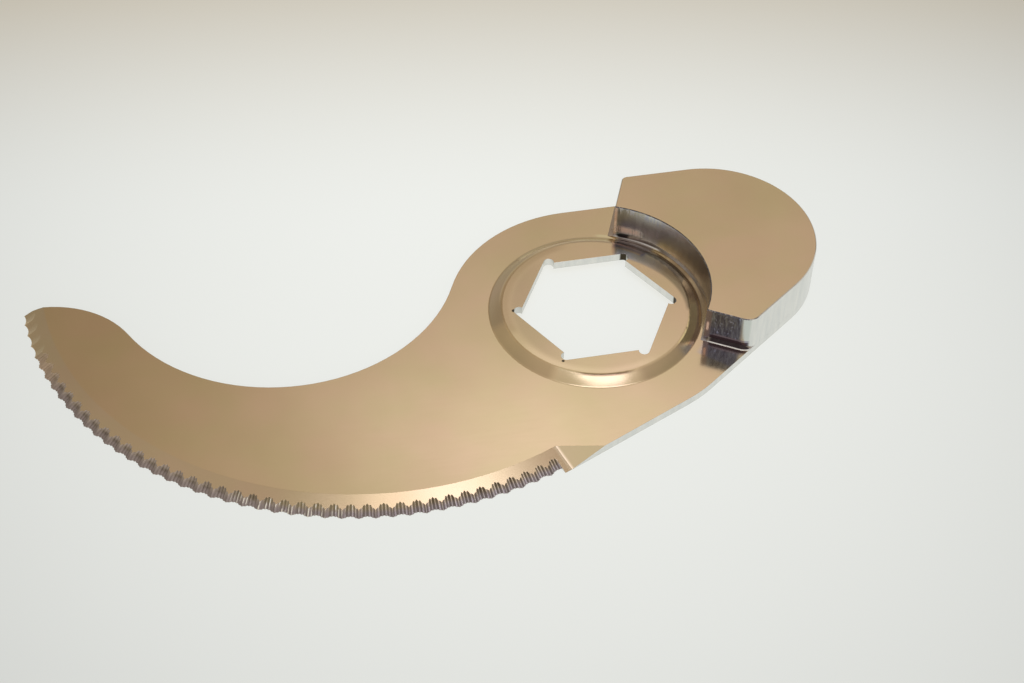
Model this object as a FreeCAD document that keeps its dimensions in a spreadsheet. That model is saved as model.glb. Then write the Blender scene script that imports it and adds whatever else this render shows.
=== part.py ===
import FreeCAD, Part
import math
import os

import Sketcher
from FreeCAD import Placement, Rotation, Vector

# Cutter mixer blade. The origin is on the axis of the hexagon bore, at the
# underside of the plate. +Z is up, the counterweight lies towards +X and the
# tip of the blade towards -X. Lengths are in millimetres, angles in degrees.

SIZES = [
    ("plate_thickness", 5.0, "thickness of the whole plate"),
    ("bore_across_flats", 80.0, "hexagon bore, flat to flat"),
    ("relief_radius", 3.1, "round end of the relief in each corner of the bore"),
    ("relief_run", 2.8, "how far a relief runs on past its corner, along the flat"),
    ("hub_radius", 86.5, "outer radius of the hub"),
    ("hub_lift", 3.7, "how far the hub is pressed up out of the plate"),
    ("crown_radius", 55.5, "radius of the raised flat of the hub"),
    ("foot_radius", 62.5, "radius where the pressed slope ends"),
    ("crown_bend", 4.0, "bend radius at the top of the slope"),
    ("slope_bow", 35.0, "radius of the slight bulge of the slope"),
    ("foot_bend", 2.0, "bend radius at the bottom of the slope"),
    ("inner_bend", 1.0, "bend radius inside the recess under the hub"),
    ("outer_bend", 4.5, "bend radius at the rim of the recess under the hub"),
    ("tail_offset", 77.3, "from the bore to the centre of the tail's round end, along X"),
    ("tail_rise", 25.5, "from the bore to the centre of the tail's round end, along Y"),
    ("heel_slope", 24.7, "slope of the straight edge between hub and heel"),
    ("heel_length", 81.0, "straight edge, from the hub to the cutting edge"),
    ("edge_radius", 208.4, "cutting edge before the teeth are ground"),
    ("back_radius", 105.2, "hollow back of the blade"),
    ("back_height", 77.1, "centre of the hollow back above the X axis"),
    ("tip_radius", 57.3, "rounded back near the tip"),
    ("tip_turn", 184.4, "where the tip lies, round the edge centre"),
    ("bevel_width", 15.6, "ground bevel along the cutting edge"),
    ("edge_land", 0.3, "thickness left at the rim of the bevel"),
    ("bevel_end", 294.0, "where the bevel stops at the heel, round the edge centre"),
    ("bevel_sweep", 116.0, "how far the bevel runs round the edge centre"),
    ("heel_facet_turn", -10.3, "direction in which the heel facet runs out"),
    ("tooth_pitch", 2.544, "one tooth to the next, round the edge centre"),
    ("last_tooth", 292.0, "tooth nearest the heel, round the edge centre"),
    ("fluted_teeth", 38.0, "full teeth with flutes, besides the one at the heel"),
    ("plain_teeth", 4.0, "teeth near the tip, without flutes"),
    ("tooth_depth", 4.5, "how far a tooth is ground back from the rim"),
    ("flutes_per_tooth", 5.0, "V flutes ground into each tooth, an odd number"),
    ("flute_pitch", 1.8, "one flute to the next"),
    ("flute_depth", 0.3, "depth of a V flute"),
    ("flute_slope", 30.0, "slope of the floor of a flute"),
    ("comb_radius", 9.0, "arc on which the flutes of a tooth lie"),
    ("scallop_radius", 14.0, "hollow of a plain tooth"),
    ("weight_height", 23.4, "height of the counterweight above the plate"),
    ("weight_bore", 66.0, "radius of the hollow wall of the counterweight"),
    ("weight_start", -31.3, "end face of the counterweight towards the heel"),
    ("weight_end", 67.0, "end face of the counterweight towards the back"),
    ("weight_corner_start", 8.0, "rounded upright edge towards the heel"),
    ("weight_corner_end", 3.5, "rounded upright edge towards the back"),
    ("weight_edge", 0.5, "chamfer round the top of the counterweight"),
    ("weld_toe", 1.1, "width of the weld bead at the hollow wall"),
    ("weld_toe_start", 2.0, "width of the weld bead at the end face towards the heel"),
    ("weld_toe_end", 3.2, "width of the weld bead at the end face towards the back"),
    ("weld_slope", 52.0, "slope of the face of the weld bead"),
]

# How far cutting profiles reach past the metal that they remove.
CLEAR = 2.0
# How far one comb of flutes reaches over its neighbour.
COMB_OVERLAP = 0.25
# How far outside the rim a comb profile stands.
COMB_STAND = 3.0
# Height of a comb profile, more than the plate and its slope together.
COMB_HEIGHT = 14.0
# How far the ramp of the weld bead runs on inside the counterweight.
BEAD_RISE = 1.0

doc = FreeCAD.newDocument("cutter_mixer_blade")
sheet = doc.addObject("Spreadsheet::Sheet", "Sizes")
value = {}
for row, (alias, number, note) in enumerate(SIZES, start=1):
    sheet.set(f"A{row}", alias)
    sheet.set(f"B{row}", str(number))
    sheet.setAlias(f"B{row}", alias)
    sheet.set(f"C{row}", note)
    value[alias] = number
doc.recompute()


def polar(radius, degrees, centre=(0.0, 0.0)):
    """A point at a radius and an angle round a centre, in the XY plane."""
    angle = math.radians(degrees)
    return Vector(centre[0] + radius * math.cos(angle), centre[1] + radius * math.sin(angle), 0)


def bearing(start, end):
    """The angle in degrees of the way from one point to another."""
    return math.degrees(math.atan2(end[1] - start[1], end[0] - start[0]))


def sized(text):
    """An expression in which each size is read from the sheet."""
    words = []
    word = ""
    for letter in text + " ":
        if letter.isalnum() or letter == "_":
            word += letter
            continue
        if word in value:
            word = "Sizes." + word
        words.append(word + letter)
        word = ""
    return "".join(words).strip()


def number(text):
    """The present value of an expression over the sizes."""
    result = sheet.evalExpression(sized(text))
    return float(getattr(result, "Value", result))


def new_body(name):
    body = doc.addObject("PartDesign::Body", name)
    body.Label = name
    return body


def new_sketch(body, name, role="XY_Plane"):
    sketch = body.newObject("Sketcher::SketchObject", name)
    plane = [item for item in body.Origin.OriginFeatures if item.Role == role][0]
    sketch.AttachmentSupport = [(plane, "")]
    sketch.MapMode = "FlatFace"
    return sketch


def place(sketch, x="0", y="0", z="0", turn=None):
    """Move a sketch in its own plane's axes, and turn it about its upright axis."""
    if turn is not None:
        sketch.AttachmentOffset = Placement(Vector(0, 0, 0), Rotation(Vector(0, 1, 0), number(turn)))
        sketch.setExpression("AttachmentOffset.Rotation.Angle", f"({sized(turn)}) * 1 deg")
    for axis, text in (("x", x), ("y", y), ("z", z)):
        sketch.setExpression(f"AttachmentOffset.Base.{axis}", sized(text))


def constrain(sketch, kind, *references):
    return sketch.addConstraint(Sketcher.Constraint(kind, *references))


def size(sketch, kind, *references, to):
    """Add a dimension that follows the sheet."""
    start = number(to)
    if kind == "Angle":
        start = math.radians(start)
    index = sketch.addConstraint(Sketcher.Constraint(kind, *references, start))
    sketch.setExpression(f"Constraints[{index}]", sized(to))


def line(sketch, start, end):
    return sketch.addGeometry(Part.LineSegment(Vector(*start), Vector(*end)), False)


def arc(sketch, centre, radius, first, last):
    """An arc that runs anticlockwise from one angle to another."""
    while last < first:
        last += 360.0
    circle = Part.Circle(Vector(*centre), Vector(0, 0, 1), radius)
    curve = Part.ArcOfCircle(circle, math.radians(first), math.radians(last))
    return sketch.addGeometry(curve, False)


def polygon(sketch, corners):
    """A closed outline of straight lines whose corners are pairs of expressions."""
    points = []
    for across, up in corners:
        points.append(Vector(number(across), number(up), 0))
    lines = []
    for index, point in enumerate(points):
        lines.append(line(sketch, point, points[(index + 1) % len(points)]))
    for index, edge in enumerate(lines):
        following = lines[(index + 1) % len(lines)]
        constrain(sketch, "Coincident", edge, 2, following, 1)
        size(sketch, "DistanceX", -1, 1, edge, 1, to=corners[index][0])
        size(sketch, "DistanceY", -1, 1, edge, 1, to=corners[index][1])
    return lines


# Plan of the hub and tail

START, END, CENTRE = range(1, 4)
hub = (0.0, 0.0)
tail = (value["tail_offset"], value["tail_rise"])
tail_radius = value["hub_radius"] - value["tail_rise"]
tail_normal = 2.0 * bearing(hub, tail) - 90.0
TAIL_NORMAL = "(2 * atan(tail_rise / tail_offset) / 1 deg - 90)"


def draw_tail(sketch, first_on_top, last_below):
    """The top line, round end and lower line that the plate and the counterweight share."""
    top = line(sketch, (tail[0], value["hub_radius"], 0), first_on_top)
    end = arc(sketch, tail, tail_radius, tail_normal, 90.0)
    low = line(sketch, last_below, polar(tail_radius, tail_normal, tail))
    constrain(sketch, "Tangent", low, END, end, START)
    constrain(sketch, "Tangent", end, END, top, START)
    constrain(sketch, "Horizontal", top)
    size(sketch, "Radius", end, to="hub_radius - tail_rise")
    size(sketch, "DistanceX", -1, 1, end, CENTRE, to="tail_offset")
    return top, low


# The plate's outline

heel_normal = value["heel_slope"] - 90.0
heel_start = polar(value["hub_radius"], heel_normal)
heel_end = heel_start + polar(value["heel_length"], value["heel_slope"] + 180.0)
edge_centre = heel_end + polar(value["edge_radius"], heel_normal + 180.0)
EDGE_X = "((hub_radius - edge_radius) * sin(heel_slope * 1 deg) - heel_length * cos(heel_slope * 1 deg))"
EDGE_Y = "((edge_radius - hub_radius) * cos(heel_slope * 1 deg) - heel_length * sin(heel_slope * 1 deg))"

back_reach = value["hub_radius"] + value["back_radius"]
back_centre = (-math.sqrt(back_reach ** 2 - value["back_height"] ** 2), value["back_height"])


def crossing(first, first_radius, second, second_radius, side):
    """Where two circles cross, on the left (+1) or right (-1) of the way between them."""
    gap = math.hypot(second[0] - first[0], second[1] - first[1])
    along = (gap ** 2 + first_radius ** 2 - second_radius ** 2) / (2.0 * gap)
    beside = side * math.sqrt(first_radius ** 2 - along ** 2)
    turn = bearing(first, second) + math.degrees(math.atan2(beside, along))
    return polar(first_radius, turn, first)


tip = polar(value["edge_radius"], value["tip_turn"], edge_centre)
tip_centre = crossing(tip, value["tip_radius"], back_centre, value["back_radius"] + value["tip_radius"], -1)

plate = new_body("blade_plate")
outline = new_sketch(plate, "plate_outline")
hub_back = arc(outline, hub, value["hub_radius"], 90.0, bearing(hub, back_centre))
hollow = arc(outline, back_centre, value["back_radius"],
             bearing(back_centre, tip_centre), bearing(back_centre, hub))
tip_back = arc(outline, tip_centre, value["tip_radius"],
               bearing(tip_centre, back_centre), bearing(tip_centre, tip))
edge = arc(outline, edge_centre, value["edge_radius"], bearing(edge_centre, tip), heel_normal)
heel_line = line(outline, heel_end, heel_start)
hub_front = arc(outline, hub, value["hub_radius"], heel_normal, tail_normal)
top_line, low_line = draw_tail(outline, (0, value["hub_radius"], 0),
                               polar(value["hub_radius"], tail_normal))

constrain(outline, "Coincident", hub_back, CENTRE, -1, 1)
constrain(outline, "Coincident", hub_front, CENTRE, -1, 1)
constrain(outline, "Equal", hub_back, hub_front)
constrain(outline, "Tangent", top_line, END, hub_back, START)
constrain(outline, "Tangent", hub_back, END, hollow, END)
constrain(outline, "Tangent", hollow, START, tip_back, START)
constrain(outline, "Coincident", tip_back, END, edge, START)
constrain(outline, "Tangent", edge, END, heel_line, START)
constrain(outline, "Tangent", heel_line, END, hub_front, START)
constrain(outline, "Tangent", hub_front, END, low_line, START)
size(outline, "Radius", hub_back, to="hub_radius")
size(outline, "Radius", hollow, to="back_radius")
size(outline, "Radius", tip_back, to="tip_radius")
size(outline, "Radius", edge, to="edge_radius")
size(outline, "DistanceY", -1, 1, hollow, CENTRE, to="back_height")
size(outline, "Distance", heel_line, START, heel_line, END, to="heel_length")
size(outline, "Angle", heel_line, to="heel_slope * 1 deg")
size(outline, "DistanceY", -1, 1, edge, START, to=f"{EDGE_Y} + edge_radius * sin(tip_turn * 1 deg)")

blank = plate.newObject("PartDesign::Pad", "plate_blank")
blank.Profile = outline
blank.setExpression("Length", sized("plate_thickness"))
doc.recompute()

# The pressed hub, turned as one profile round the bore axis

DISH_HALF = "tan(atan(hub_lift / (foot_radius - crown_radius)) / 2)"
CROWN_X = f"(crown_radius - crown_bend * {DISH_HALF})"
FOOT_X = f"(foot_radius + foot_bend * {DISH_HALF})"
UNDER_FOOT_X = f"(foot_radius + (outer_bend - plate_thickness) * {DISH_HALF})"
UNDER_CROWN_X = f"(crown_radius - (inner_bend + plate_thickness) * {DISH_HALF})"
dish_slope = math.degrees(math.atan2(value["hub_lift"], value["foot_radius"] - value["crown_radius"]))
dish_top = value["plate_thickness"] + value["hub_lift"]

opening = new_sketch(plate, "hub_opening")
ring = opening.addGeometry(Part.Circle(Vector(0, 0, 0), Vector(0, 0, 1), number(FOOT_X)), False)
constrain(opening, "Coincident", ring, CENTRE, -1, 1)
size(opening, "Radius", ring, to=FOOT_X)
cleared = plate.newObject("PartDesign::Pocket", "hub_clearing")
cleared.Profile = opening
cleared.Reversed = True
cleared.setExpression("Length", sized("plate_thickness"))

dish = new_sketch(plate, "hub_section", "XZ_Plane")


def bend(centre_x, centre_y, radius, first, last):
    """A bend whose centre and radius follow the sheet."""
    middle = (number(centre_x), number(centre_y))
    curve = arc(dish, middle, number(radius), first, last)
    size(dish, "DistanceX", -1, 1, curve, CENTRE, to=centre_x)
    size(dish, "DistanceY", -1, 1, curve, CENTRE, to=centre_y)
    size(dish, "Radius", curve, to=radius)
    return curve


def bend_end(centre_x, centre_y, radius, degrees):
    return polar(number(radius), degrees, (number(centre_x), number(centre_y)))


CROWN = (CROWN_X, "plate_thickness + hub_lift - crown_bend", "crown_bend")
FOOT = (FOOT_X, "plate_thickness + foot_bend", "foot_bend")
UNDER_FOOT = (UNDER_FOOT_X, "outer_bend", "outer_bend")
UNDER_CROWN = (UNDER_CROWN_X, "hub_lift - inner_bend", "inner_bend")
crown_centre = (number(CROWN[0]), number(CROWN[1]))
foot_centre = (number(FOOT[0]), number(FOOT[1]))
bow_centre = crossing(crown_centre, value["slope_bow"] - value["crown_bend"],
                      foot_centre, value["slope_bow"] + value["foot_bend"], -1)
bow_start = bearing(bow_centre, foot_centre)
bow_end = bearing(bow_centre, crown_centre)
up = 90.0 - dish_slope
down = 270.0 - dish_slope
crown = bend(*CROWN, bow_end, 90.0)
foot = bend(*FOOT, bow_start + 180.0, 270.0)
under_foot = bend(*UNDER_FOOT, down, 270.0)
under_crown = bend(*UNDER_CROWN, up, 90.0)
top_flat = line(dish, (0, dish_top, 0), bend_end(*CROWN, 90.0))
slope = arc(dish, bow_centre, value["slope_bow"], bow_start, bow_end)
size(dish, "Radius", slope, to="slope_bow")
side = line(dish, bend_end(*FOOT, 270.0), (number(FOOT_X), 0, 0))
under_rim = line(dish, (number(FOOT_X), 0, 0), bend_end(*UNDER_FOOT, 270.0))
under_slope = line(dish, bend_end(*UNDER_FOOT, down), bend_end(*UNDER_CROWN, up))
under_flat = line(dish, bend_end(*UNDER_CROWN, 90.0), (0, value["hub_lift"], 0))
axis_line = line(dish, (0, value["hub_lift"], 0), (0, dish_top, 0))
for edge_of_section in (top_flat, under_flat, under_rim):
    constrain(dish, "Horizontal", edge_of_section)
for first, first_end, second, second_end in (
    (top_flat, END, crown, END),
    (crown, START, slope, END),
    (slope, START, foot, START),
    (under_rim, END, under_foot, END),
    (under_foot, START, under_slope, START),
    (under_slope, END, under_crown, START),
    (under_crown, END, under_flat, START),
):
    constrain(dish, "Tangent", first, first_end, second, second_end)
constrain(dish, "Vertical", side)
constrain(dish, "Coincident", foot, END, side, START)
constrain(dish, "Coincident", side, END, under_rim, START)
constrain(dish, "Vertical", foot, CENTRE, foot, END)
constrain(dish, "Coincident", under_flat, END, axis_line, START)
constrain(dish, "Coincident", axis_line, END, top_flat, START)
constrain(dish, "PointOnObject", axis_line, START, -2)
constrain(dish, "PointOnObject", axis_line, END, -2)
pressed = plate.newObject("PartDesign::Revolution", "pressed_hub")
pressed.Profile = dish
pressed.ReferenceAxis = (dish, ["V_Axis"])
pressed.Angle = 360.0

# The hexagon bore. Each flat is cut on past its corner, and ends there in a round relief.

bore = new_sketch(plate, "bore_outline")
CORNER = "bore_across_flats / 2 / cos(30 deg)"
polygon(bore, [(f"{CORNER} * cos({60 * side_no} deg)", f"{CORNER} * sin({60 * side_no} deg)")
               for side_no in range(6)])
bored = plate.newObject("PartDesign::Pocket", "hexagon_bore")
bored.Profile = bore
bored.Reversed = True
bored.setExpression("Length", sized(f"plate_thickness + hub_lift + {CLEAR}"))

relief = new_sketch(plate, "relief_outline")
flat_turn = -60.0
corner = Vector(number(CORNER), 0, 0)
run_end = corner + polar(value["relief_run"], flat_turn)
relief_centre = run_end + polar(value["relief_radius"], flat_turn - 90.0)
run_on = line(relief, corner, run_end)
round_end = arc(relief, relief_centre, value["relief_radius"], flat_turn - 90.0, flat_turn + 90.0)
way_back = line(relief, relief_centre + polar(value["relief_radius"], flat_turn - 90.0), corner)
constrain(relief, "PointOnObject", run_on, START, -1)
constrain(relief, "Tangent", run_on, END, round_end, END)
constrain(relief, "Coincident", round_end, START, way_back, START)
constrain(relief, "Coincident", way_back, END, run_on, START)
size(relief, "DistanceX", -1, 1, run_on, START, to=CORNER)
size(relief, "Distance", run_on, START, run_on, END, to="relief_run")
size(relief, "Angle", run_on, to=f"{flat_turn} * 1 deg")
size(relief, "Radius", round_end, to="relief_radius")
size(relief, "DistanceY", round_end, START, -1, 1, to="relief_run * sin(60 deg) + relief_radius")
relieved = plate.newObject("PartDesign::Pocket", "corner_relief")
relieved.Profile = relief
relieved.Reversed = True
relieved.setExpression("Length", sized(f"plate_thickness + hub_lift + {CLEAR}"))
reliefs = plate.newObject("PartDesign::PolarPattern", "corner_reliefs")
reliefs.Originals = [relieved]
reliefs.Axis = ([item for item in plate.Origin.OriginFeatures if item.Role == "Z_Axis"][0], [""])
reliefs.Angle = 360.0
reliefs.Occurrences = 6
plate.Tip = reliefs

# The ground bevel, a cone round the centre of the cutting edge, and the heel facet

bevel_section = new_sketch(plate, "bevel_section", "XZ_Plane")
place(bevel_section, x=EDGE_X, z=f"-({EDGE_Y})", turn="bevel_end")
BEVEL_RISE = f"({CLEAR} * (plate_thickness - edge_land) / bevel_width)"
polygon(bevel_section, [
    (f"edge_radius - bevel_width - {CLEAR}", f"plate_thickness + {BEVEL_RISE}"),
    (f"edge_radius + {CLEAR}", f"edge_land - {BEVEL_RISE}"),
    (f"edge_radius + {CLEAR}", f"plate_thickness + {BEVEL_RISE}"),
])
bevel = plate.newObject("PartDesign::Groove", "ground_bevel")
bevel.Profile = bevel_section
bevel.ReferenceAxis = (bevel_section, ["V_Axis"])
bevel.Reversed = True
bevel.setExpression("Angle", sized("bevel_sweep"))
plate.Tip = bevel

facet = plate.newObject("PartDesign::Pocket", "heel_facet")
facet.Profile = bevel_section
facet.UseCustomVector = True
facet.setExpression("Direction.x", sized("cos(heel_facet_turn * 1 deg)"))
facet.setExpression("Direction.y", sized("sin(heel_facet_turn * 1 deg)"))
facet.Direction = Vector(math.cos(math.radians(value["heel_facet_turn"])),
                         math.sin(math.radians(value["heel_facet_turn"])), 0)
facet.setExpression("Length", sized("hub_radius / 2"))

# The ground teeth. A comb profile stands outside the rim and is pushed inwards
# and up, so that each flute runs out on the bevel.

ROOT = "(edge_radius - tooth_depth)"


def direction(feature, degrees):
    """Point a tooth pocket at the edge centre, climbing with the floor of the flutes."""
    bearing_text = sized(f"({degrees}) * 1 deg")
    slope_text = sized("flute_slope * 1 deg")
    feature.UseCustomVector = True
    feature.setExpression("Direction.x", f"-cos({bearing_text}) * cos({slope_text})")
    feature.setExpression("Direction.y", f"-sin({bearing_text}) * cos({slope_text})")
    feature.setExpression("Direction.z", f"sin({slope_text})")
    feature.setExpression("Length", sized("bevel_width * 2"))


def tooth_sketch(name, degrees):
    """A sketch plane across the rim, facing outwards, with its origin on the root line."""
    sketch = new_sketch(plate, name, "XZ_Plane")
    stand = f"(edge_radius + {COMB_STAND})"
    place(
        sketch,
        x=f"{EDGE_X} + {stand} * cos(({degrees}) * 1 deg)",
        y=f"-(tooth_depth + {COMB_STAND}) * tan(flute_slope * 1 deg)",
        z=f"-({EDGE_Y} + {stand} * sin(({degrees}) * 1 deg))",
        turn=f"{degrees} - 270",
    )
    return sketch


HALF_TOOTH = f"({ROOT} * tooth_pitch * pi / 360)"
LIMIT = f"({HALF_TOOTH} + {COMB_OVERLAP})"


def hollow_at(across, radius):
    return f"({radius} - sqrt({radius} ^ 2 - ({across}) ^ 2))"


def comb_corners(first, last, closed_end):
    """The corners of a comb whose flutes are numbered from first to last."""
    corners = []
    flank = "(2 * flute_depth / flute_pitch)"
    for flute in range(first, last + 1):
        trough = f"{flute} * flute_pitch"
        depth = hollow_at(trough, "comb_radius")
        if flute > first:
            ridge = f"{flute - 0.5} * flute_pitch"
            corners.append((ridge, f"{hollow_at(ridge, 'comb_radius')} + flute_depth"))
        else:
            corners.append((f"-{LIMIT}", f"{depth} + ({LIMIT} + {trough}) * {flank}"))
        corners.append((trough, depth))
    if closed_end:
        end = f"{last + 0.5} * flute_pitch"
    else:
        end = LIMIT
    corners.append((end, f"{depth} + ({end} - {trough}) * {flank}"))
    corners.append((end, f"{COMB_HEIGHT}"))
    corners.append((f"-{LIMIT}", f"{COMB_HEIGHT}"))
    return corners


def grind(name, degrees, sketch):
    feature = plate.newObject("PartDesign::Pocket", name)
    feature.Profile = sketch
    direction(feature, degrees)
    return feature


def repeat(name, feature, count):
    """Repeat a tooth round the edge centre."""
    pattern = plate.newObject("PartDesign::PolarPattern", name)
    pattern.Originals = [feature]
    pattern.Axis = (bevel_section, ["V_Axis"])
    pattern.Mode = "Spacing"
    pattern.Reversed = True
    pattern.setExpression("Offset", sized("tooth_pitch"))
    pattern.setExpression("Occurrences", sized(count))
    plate.Tip = pattern
    return pattern


side_flutes = int(value["flutes_per_tooth"]) // 2
heel_comb = tooth_sketch("heel_comb", "last_tooth")
polygon(heel_comb, comb_corners(-side_flutes, side_flutes - 1, True))
heel_tooth = grind("heel_tooth", "last_tooth", heel_comb)

FULL_TOOTH = "(last_tooth - tooth_pitch)"
full_comb = tooth_sketch("full_comb", FULL_TOOTH)
polygon(full_comb, comb_corners(-side_flutes, side_flutes, False))
full_tooth = grind("full_tooth", FULL_TOOTH, full_comb)
full_teeth = repeat("full_teeth", full_tooth, "fluted_teeth")

PLAIN_TOOTH = "(last_tooth - tooth_pitch * (fluted_teeth + 1))"
plain_hollow = tooth_sketch("plain_hollow", PLAIN_TOOTH)
half_width = number(LIMIT)
half_angle = math.degrees(math.asin(half_width / value["scallop_radius"]))
hollow_centre = (0.0, value["scallop_radius"])
hollow_arc = arc(plain_hollow, hollow_centre, value["scallop_radius"],
                 270.0 - half_angle, 270.0 + half_angle)
right_end = polar(value["scallop_radius"], 270.0 + half_angle, hollow_centre)
left_end = polar(value["scallop_radius"], 270.0 - half_angle, hollow_centre)
right_side = line(plain_hollow, right_end, (half_width, COMB_HEIGHT, 0))
lid = line(plain_hollow, (half_width, COMB_HEIGHT, 0), (-half_width, COMB_HEIGHT, 0))
left_side = line(plain_hollow, (-half_width, COMB_HEIGHT, 0), left_end)
constrain(plain_hollow, "PointOnObject", hollow_arc, CENTRE, -2)
size(plain_hollow, "Radius", hollow_arc, to="scallop_radius")
size(plain_hollow, "DistanceY", -1, 1, hollow_arc, CENTRE, to="scallop_radius")
for first, second in (
    (hollow_arc, right_side),
    (right_side, lid),
    (lid, left_side),
    (left_side, hollow_arc),
):
    constrain(plain_hollow, "Coincident", first, END, second, START)
constrain(plain_hollow, "Vertical", right_side)
constrain(plain_hollow, "Vertical", left_side)
constrain(plain_hollow, "Horizontal", lid)
size(plain_hollow, "DistanceX", -1, 1, right_side, START, to=LIMIT)
size(plain_hollow, "DistanceX", left_side, START, -1, 1, to=LIMIT)
size(plain_hollow, "DistanceY", -1, 1, lid, START, to=f"{COMB_HEIGHT}")
plain_tooth = grind("plain_tooth", PLAIN_TOOTH, plain_hollow)
plain_teeth = repeat("plain_teeth", plain_tooth, "plain_teeth")
doc.recompute()

# The counterweight, flush with the plate round the tail


def inwards(degrees, towards):
    """A step of unit length across a ray, towards the inside of the counterweight."""
    return polar(1.0, degrees + towards * 90.0)


def weight_corner(degrees, outward_normal, corner, towards):
    """The centre of the round corner between a radial end face and the side of the tail."""
    lean = math.radians(outward_normal - degrees)
    along = (value["hub_radius"] - corner - corner * towards * math.sin(lean)) / math.cos(lean)
    return polar(along, degrees) + inwards(degrees, towards) * corner


def draw_weight(sketch, hollow_radius, gaps, corners):
    """An outline round the counterweight, set off from its end faces by two gaps.

    Each corner is a pair of expressions for its centre, or None where it is
    tangent to the side of the tail.
    """
    starts = (value["weight_start"], value["weight_end"])
    normals = (tail_normal, 90.0)
    fillets = (value["weight_corner_start"], value["weight_corner_end"])
    inner = []
    outer = []
    centres = []
    spans = []
    reach = number(hollow_radius)
    for side, towards in ((0, 1), (1, -1)):
        gap = number(gaps[side])
        centre = weight_corner(starts[side], normals[side], fillets[side], towards)
        back_off = inwards(starts[side], towards) * -gap
        inner.append(polar(math.sqrt(reach ** 2 - gap ** 2), starts[side]) + back_off)
        centres.append(centre)
        outer.append(centre - inwards(starts[side], towards) * (fillets[side] + gap))
        spread = math.degrees(math.acos(fillets[side] / (fillets[side] + gap)))
        spans.append((starts[side] - towards * 90.0, normals[side] - towards * spread))
    guide = sketch.addGeometry(Part.Circle(Vector(0, 0, 0), Vector(0, 0, 1), value["hub_radius"]), True)
    first_face = line(sketch, inner[0], outer[0])
    first_corner = arc(sketch, centres[0], fillets[0] + number(gaps[0]), *spans[0])
    last_corner = arc(sketch, centres[1], fillets[1] + number(gaps[1]), *reversed(spans[1]))
    last_face = line(sketch, outer[1], inner[1])
    hollow_wall = arc(sketch, hub, reach, bearing(hub, inner[0]), bearing(hub, inner[1]))
    on_top = polar(fillets[1] + number(gaps[1]), spans[1][1], centres[1])
    below = polar(fillets[0] + number(gaps[0]), spans[0][1], centres[0])
    top, low = draw_tail(sketch, on_top, below)
    constrain(sketch, "Coincident", guide, CENTRE, -1, 1)
    size(sketch, "Radius", guide, to="hub_radius")
    constrain(sketch, "Tangent", low, guide)
    size(sketch, "DistanceY", -1, 1, top, START, to="hub_radius")
    constrain(sketch, "Coincident", hollow_wall, CENTRE, -1, 1)
    size(sketch, "Radius", hollow_wall, to=hollow_radius)
    constrain(sketch, "Coincident", hollow_wall, START, first_face, START)
    constrain(sketch, "Coincident", hollow_wall, END, last_face, END)
    constrain(sketch, "Tangent", first_face, END, first_corner, START)
    constrain(sketch, "Tangent", last_corner, END, last_face, START)
    size(sketch, "Angle", first_face, to="weight_start * 1 deg")
    size(sketch, "Angle", last_face, to="(weight_end - 180) * 1 deg")
    size(sketch, "Radius", first_corner, to=f"weight_corner_start + {gaps[0]}")
    size(sketch, "Radius", last_corner, to=f"weight_corner_end + {gaps[1]}")
    if corners is None:
        constrain(sketch, "Tangent", first_corner, END, low, START)
        constrain(sketch, "Tangent", top, END, last_corner, START)
        constrain(sketch, "PointOnObject", -1, 1, first_face)
        constrain(sketch, "PointOnObject", -1, 1, last_face)
        return
    constrain(sketch, "Coincident", first_corner, END, low, START)
    constrain(sketch, "Coincident", top, END, last_corner, START)
    for curve, (across, up) in zip((first_corner, last_corner), corners):
        size(sketch, "DistanceX", -1, 1, curve, CENTRE, to=across)
        size(sketch, "DistanceY", -1, 1, curve, CENTRE, to=up)


weight = new_body("counterweight")
weight_outline = new_sketch(weight, "weight_outline")
place(weight_outline, z="plate_thickness")
draw_weight(weight_outline, "weight_bore", ("0", "0"), None)
raised = weight.newObject("PartDesign::Pad", "weight_block")
raised.Profile = weight_outline
raised.setExpression("Length", sized("weight_height"))
doc.recompute()
weight_top = value["plate_thickness"] + value["weight_height"]
top_faces = []
for index, face in enumerate(raised.Shape.Faces, start=1):
    if face.BoundBox.ZMin > weight_top - 0.01:
        top_faces.append(f"Face{index}")
eased = weight.newObject("PartDesign::Chamfer", "weight_chamfer")
eased.Base = (raised, top_faces)
eased.setExpression("Size", sized("weight_edge"))
weight.Tip = eased

# The weld bead round the hollow wall and both end faces of the counterweight

START_ANGLE = "(weight_start * 1 deg)"
END_ANGLE = "(weight_end * 1 deg)"
START_LEAN = f"({TAIL_NORMAL} * 1 deg - {START_ANGLE})"
START_ALONG = (f"((hub_radius - weight_corner_start * (1 + sin({START_LEAN}))) / cos({START_LEAN}))")
END_ALONG = f"((hub_radius - weight_corner_end * (1 - cos({END_ANGLE}))) / sin({END_ANGLE}))"
WELD_CORNERS = (
    (f"{START_ALONG} * cos({START_ANGLE}) - weight_corner_start * sin({START_ANGLE})",
     f"{START_ALONG} * sin({START_ANGLE}) + weight_corner_start * cos({START_ANGLE})"),
    (f"{END_ALONG} * cos({END_ANGLE}) + weight_corner_end * sin({END_ANGLE})",
     "hub_radius - weight_corner_end"),
)
bead = new_body("weld_bead")
bead_outline = new_sketch(bead, "bead_outline")
place(bead_outline, z="plate_thickness")
draw_weight(bead_outline, "(weight_bore - weld_toe)", ("weld_toe_start", "weld_toe_end"), WELD_CORNERS)
ramp = bead.newObject("PartDesign::Pad", "bead_ramp")
ramp.Profile = bead_outline
ramp.setExpression("Length", sized(f"weld_toe_end * tan(weld_slope * 1 deg) + {BEAD_RISE}"))
ramp.setExpression("TaperAngle", sized("(weld_slope - 90) * 1 deg"))
doc.recompute()
seam = doc.addObject("Part::Cut", "weld_seam")
seam.Label = "weld_seam"
seam.Base = bead
seam.Tool = weight
doc.recompute()

# Check every object, then write the parts

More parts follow.
